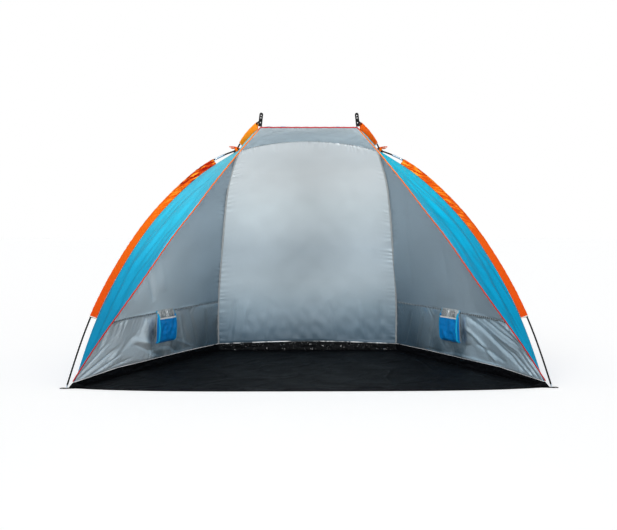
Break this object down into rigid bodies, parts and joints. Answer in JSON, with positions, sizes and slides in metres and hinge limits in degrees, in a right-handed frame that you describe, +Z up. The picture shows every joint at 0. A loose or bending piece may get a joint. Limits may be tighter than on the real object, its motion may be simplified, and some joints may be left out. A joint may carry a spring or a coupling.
{
  "type": "beach tent",
  "caption": "Open-fronted beach shelter: cloth shell hung on a leaning arch pole and two side poles, with wings, a rimmed floor and hanging wall pockets.",
  "frame": {"origin": "on the ground, under the floor, midway between the two feet of the arch pole", "axes": "+Z up, the open front faces -Y, +X to the right seen from the front; the tent is symmetric about X = 0"},
  "size_m": [2.2566, 1.3416, 1.2757],
  "materials": {
    "pole": "smooth black glass-fibre tube",
    "steel": "bright satin",
    "elastic": "braided elastic",
    "silver_cloth": "silver coated inside, blue weave outside",
    "blue_cloth": "plain weave, satin sheen",
    "orange_cloth": "plain weave, satin sheen",
    "pocket_cloth": "plain weave",
    "ribbon": "woven tape",
    "tongue": "moulded, matte",
    "piping": "folded binding tape",
    "floor_sheet": "coated weave, slight shine",
    "webbing": "woven webbing"
  },
  "bodies": {
    "shelter": {"arch_section_1": "pole", "arch_section_2": "pole", "arch_section_3": "pole", "arch_section_4": "pole", "arch_section_5": "pole", "arch_section_6": "pole", "arch_section_7": "pole", "arch_section_8": "pole", "arch_ferrule_1": "steel", "arch_ferrule_2": "steel", "arch_ferrule_3": "steel", "arch_ferrule_4": "steel", "arch_ferrule_5": "steel", "arch_ferrule_6": "steel", "arch_ferrule_7": "steel", "arch_tip_left": "steel", "arch_tip_right": "steel", "arch_shock_cord": "elastic", "side_pole_left_section_1": "pole", "side_pole_left_section_2": "pole", "side_pole_left_section_3": "pole", "side_pole_left_ferrule_1": "steel", "side_pole_left_ferrule_2": "steel", "side_pole_left_tip": "steel", "side_pole_left_shock_cord": "elastic", "side_pole_right_section_1": "pole", "side_pole_right_section_2": "pole", "side_pole_right_section_3": "pole", "side_pole_right_ferrule_1": "steel", "side_pole_right_ferrule_2": "steel", "side_pole_right_tip": "steel", "side_pole_right_shock_cord": "elastic", "roof_panel": "silver_cloth", "rear_panel": "silver_cloth", "side_panel_left": "silver_cloth", "wing_left": "blue_cloth", "arch_sleeve_left": "orange_cloth", "roof_sleeve_left": "orange_cloth", "rear_sleeve_left": "orange_cloth", "tie_ribbon_left": "ribbon", "tongue_left": "tongue", "side_panel_right": "silver_cloth", "wing_right": "blue_cloth", "arch_sleeve_right": "orange_cloth", "roof_sleeve_right": "orange_cloth", "rear_sleeve_right": "orange_cloth", "tie_ribbon_right": "ribbon", "tongue_right": "tongue", "opening_piping": "piping", "floor": "floor_sheet", "corner_tab_front_left": "webbing", "corner_tab_front_right": "webbing", "corner_tab_rear_left": "webbing", "corner_tab_rear_right": "webbing"},
    "pocket_left_body": {"pocket_left": "pocket_cloth"},
    "pocket_right_body": {"pocket_right": "pocket_cloth"},
    "peg_loop_front_left_body": {"peg_loop_front_left": "webbing"},
    "peg_loop_front_right_body": {"peg_loop_front_right": "webbing"},
    "peg_loop_rear_left_body": {"peg_loop_rear_left": "webbing"},
    "peg_loop_rear_right_body": {"peg_loop_rear_right": "webbing"}
  },
  "joints": [
    {"name": "pocket_left_swing", "type": "hinge", "parent": "shelter", "child": "pocket_left_body", "pos_m": [-0.75225, 0.66728, 0.29479], "axis": [-0.4299, -0.9029, 0], "range_deg": [0, 100]},
    {"name": "pocket_right_swing", "type": "hinge", "parent": "shelter", "child": "pocket_right_body", "pos_m": [0.75225, 0.66728, 0.29479], "axis": [-0.4299, 0.9029, 0], "range_deg": [0, 100]},
    {"name": "peg_loop_front_left_lift", "type": "hinge", "parent": "shelter", "child": "peg_loop_front_left_body", "pos_m": [-1.10825, 0, 0.0015], "axis": [0, 1, 0], "range_deg": [0, 90]},
    {"name": "peg_loop_front_right_lift", "type": "hinge", "parent": "shelter", "child": "peg_loop_front_right_body", "pos_m": [1.10825, 0, 0.0015], "axis": [0, -1, 0], "range_deg": [0, 90]},
    {"name": "peg_loop_rear_left_lift", "type": "hinge", "parent": "shelter", "child": "peg_loop_rear_left_body", "pos_m": [-0.54521, 1.23554, 0.0015], "axis": [0.848, 0.5299, 0], "range_deg": [0, 90]},
    {"name": "peg_loop_rear_right_lift", "type": "hinge", "parent": "shelter", "child": "peg_loop_rear_right_body", "pos_m": [0.54521, 1.23554, 0.0015], "axis": [0.848, -0.5299, 0], "range_deg": [0, 90]}
  ]
}
